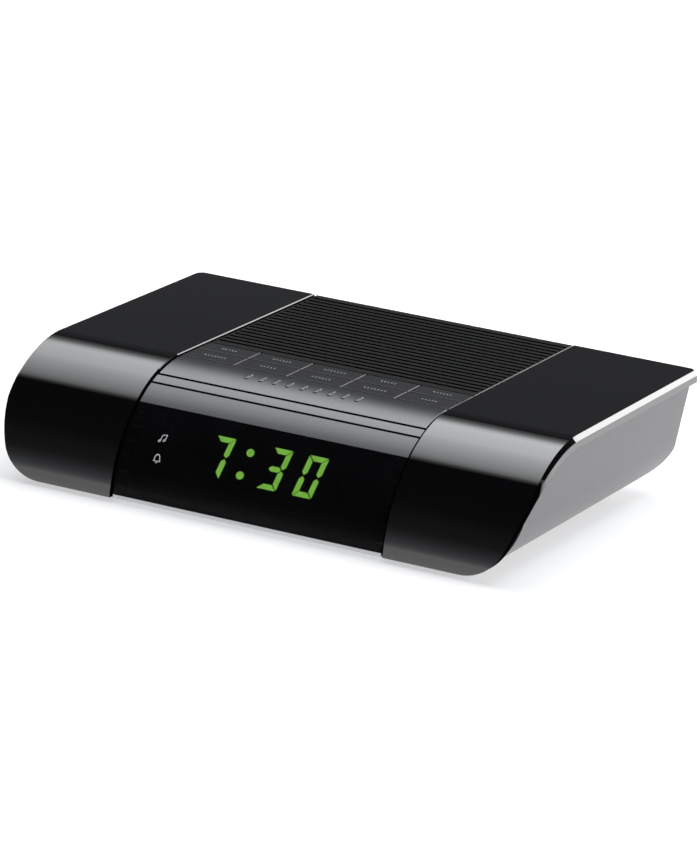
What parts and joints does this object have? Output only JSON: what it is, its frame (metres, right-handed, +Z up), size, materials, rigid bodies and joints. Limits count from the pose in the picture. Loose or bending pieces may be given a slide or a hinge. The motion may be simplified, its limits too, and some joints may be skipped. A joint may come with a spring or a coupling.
{
  "type": "clock radio",
  "caption": "Low mains clock radio with a waterfall front: gloss wings, ribbed speaker grille, top keys, snooze bar and a smoked display.",
  "frame": {"origin": "middle of the footprint, on the plane that the feet stand on", "axes": "+Z up, the display faces -Y, +X to the right seen from the front"},
  "size_m": [0.213, 0.1525, 0.045],
  "materials": {
    "gloss_black": "polished piano black",
    "cabinet_black": "plain moulded, mostly hidden",
    "satin_strip": "fine satin",
    "satin_keys": "fine satin",
    "smoked_lens": "smoked, polished",
    "silver_trim": "bright plated",
    "tub_grey": "fine moulded texture",
    "spring_steel": "bright",
    "foot_rubber": "dull",
    "screw_steel": "zinc plated",
    "bush_black": "plain moulded",
    "circuit_green": "lacquered circuit board",
    "switch_black": "plain moulded",
    "module_black": "dull black face",
    "lit_green": "lit from behind",
    "dark_green": "unlit diffuser",
    "ribbon_grey": "flat cable",
    "can_tin": "tinned sheet",
    "part_blue": "sleeved",
    "basket_steel": "pressed, plated",
    "magnet_grey": "ground ferrite and plates",
    "cone_paper": "pulp paper",
    "core_iron": "varnished laminations",
    "winding_copper": "taped winding"
  },
  "bodies": {
    "cabinet": {"left_wing": "gloss_black", "right_wing": "gloss_black", "upper_cabinet": "cabinet_black", "speaker_grille": "satin_strip", "brow_strip": "satin_strip", "display_lens": "smoked_lens", "lens_trim": "silver_trim", "lower_tub": "tub_grey", "battery_contacts": "spring_steel", "rubber_feet": "foot_rubber", "case_screws": "screw_steel", "cord_gland": "bush_black", "aerial_gland": "bush_black", "key_board": "circuit_green", "tact_switches": "switch_black", "key_board_screws": "screw_steel", "led_module": "module_black", "lit_segments": "lit_green", "dark_segments": "dark_green", "display_board": "circuit_green", "display_ribbon": "ribbon_grey", "key_ribbon": "ribbon_grey", "main_board": "circuit_green", "tuner_can": "can_tin", "board_parts": "part_blue", "main_board_screws": "screw_steel", "speaker_basket": "basket_steel", "speaker_magnet": "magnet_grey", "speaker_screws": "screw_steel", "transformer_core": "core_iron", "transformer_bobbin": "winding_copper", "transformer_screws": "screw_steel"},
    "key_rear_1": {"key_rear_1": "satin_keys"},
    "key_rear_2": {"key_rear_2": "satin_keys"},
    "key_rear_3": {"key_rear_3": "satin_keys"},
    "key_rear_4": {"key_rear_4": "satin_keys"},
    "key_rear_5": {"key_rear_5": "satin_keys"},
    "key_front_1": {"key_front_1": "satin_keys"},
    "key_front_2": {"key_front_2": "satin_keys"},
    "key_front_3": {"key_front_3": "satin_keys"},
    "key_front_4": {"key_front_4": "satin_keys"},
    "key_front_5": {"key_front_5": "satin_keys"},
    "snooze_bar": {"snooze_bar": "satin_keys"},
    "battery_door": {"battery_door": "tub_grey"},
    "speaker_cone": {"speaker_cone": "cone_paper"}
  },
  "joints": [
    {"name": "key_rear_1_press", "type": "slide", "parent": "cabinet", "child": "key_rear_1", "axis": [0, 0, -1], "range_m": [0, 0.0007], "stiffness_N_per_m": 900},
    {"name": "key_rear_2_press", "type": "slide", "parent": "cabinet", "child": "key_rear_2", "axis": [0, 0, -1], "range_m": [0, 0.0007], "stiffness_N_per_m": 900},
    {"name": "key_rear_3_press", "type": "slide", "parent": "cabinet", "child": "key_rear_3", "axis": [0, 0, -1], "range_m": [0, 0.0007], "stiffness_N_per_m": 900},
    {"name": "key_rear_4_press", "type": "slide", "parent": "cabinet", "child": "key_rear_4", "axis": [0, 0, -1], "range_m": [0, 0.0007], "stiffness_N_per_m": 900},
    {"name": "key_rear_5_press", "type": "slide", "parent": "cabinet", "child": "key_rear_5", "axis": [0, 0, -1], "range_m": [0, 0.0007], "stiffness_N_per_m": 900},
    {"name": "key_front_1_press", "type": "slide", "parent": "cabinet", "child": "key_front_1", "axis": [0, 0, -1], "range_m": [0, 0.0007], "stiffness_N_per_m": 900},
    {"name": "key_front_2_press", "type": "slide", "parent": "cabinet", "child": "key_front_2", "axis": [0, 0, -1], "range_m": [0, 0.0007], "stiffness_N_per_m": 900},
    {"name": "key_front_3_press", "type": "slide", "parent": "cabinet", "child": "key_front_3", "axis": [0, 0, -1], "range_m": [0, 0.0007], "stiffness_N_per_m": 900},
    {"name": "key_front_4_press", "type": "slide", "parent": "cabinet", "child": "key_front_4", "axis": [0, 0, -1], "range_m": [0, 0.0007], "stiffness_N_per_m": 900},
    {"name": "key_front_5_press", "type": "slide", "parent": "cabinet", "child": "key_front_5", "axis": [0, 0, -1], "range_m": [0, 0.0007], "stiffness_N_per_m": 900},
    {"name": "snooze_press", "type": "hinge", "parent": "cabinet", "child": "snooze_bar", "pos_m": [0, -0.0312, 0.0376], "axis": [1, 0, 0], "range_deg": [0, 2.2], "stiffness_Nm_per_rad": 0.6},
    {"name": "battery_door_slide", "type": "slide", "parent": "cabinet", "child": "battery_door", "axis": [0, 1, 0], "range_m": [0, 0.024]},
    {"name": "cone_stroke", "type": "slide", "parent": "cabinet", "child": "speaker_cone", "axis": [0, 0, 1], "range_m": [-0.0008, 0.0008], "stiffness_N_per_m": 900}
  ]
}
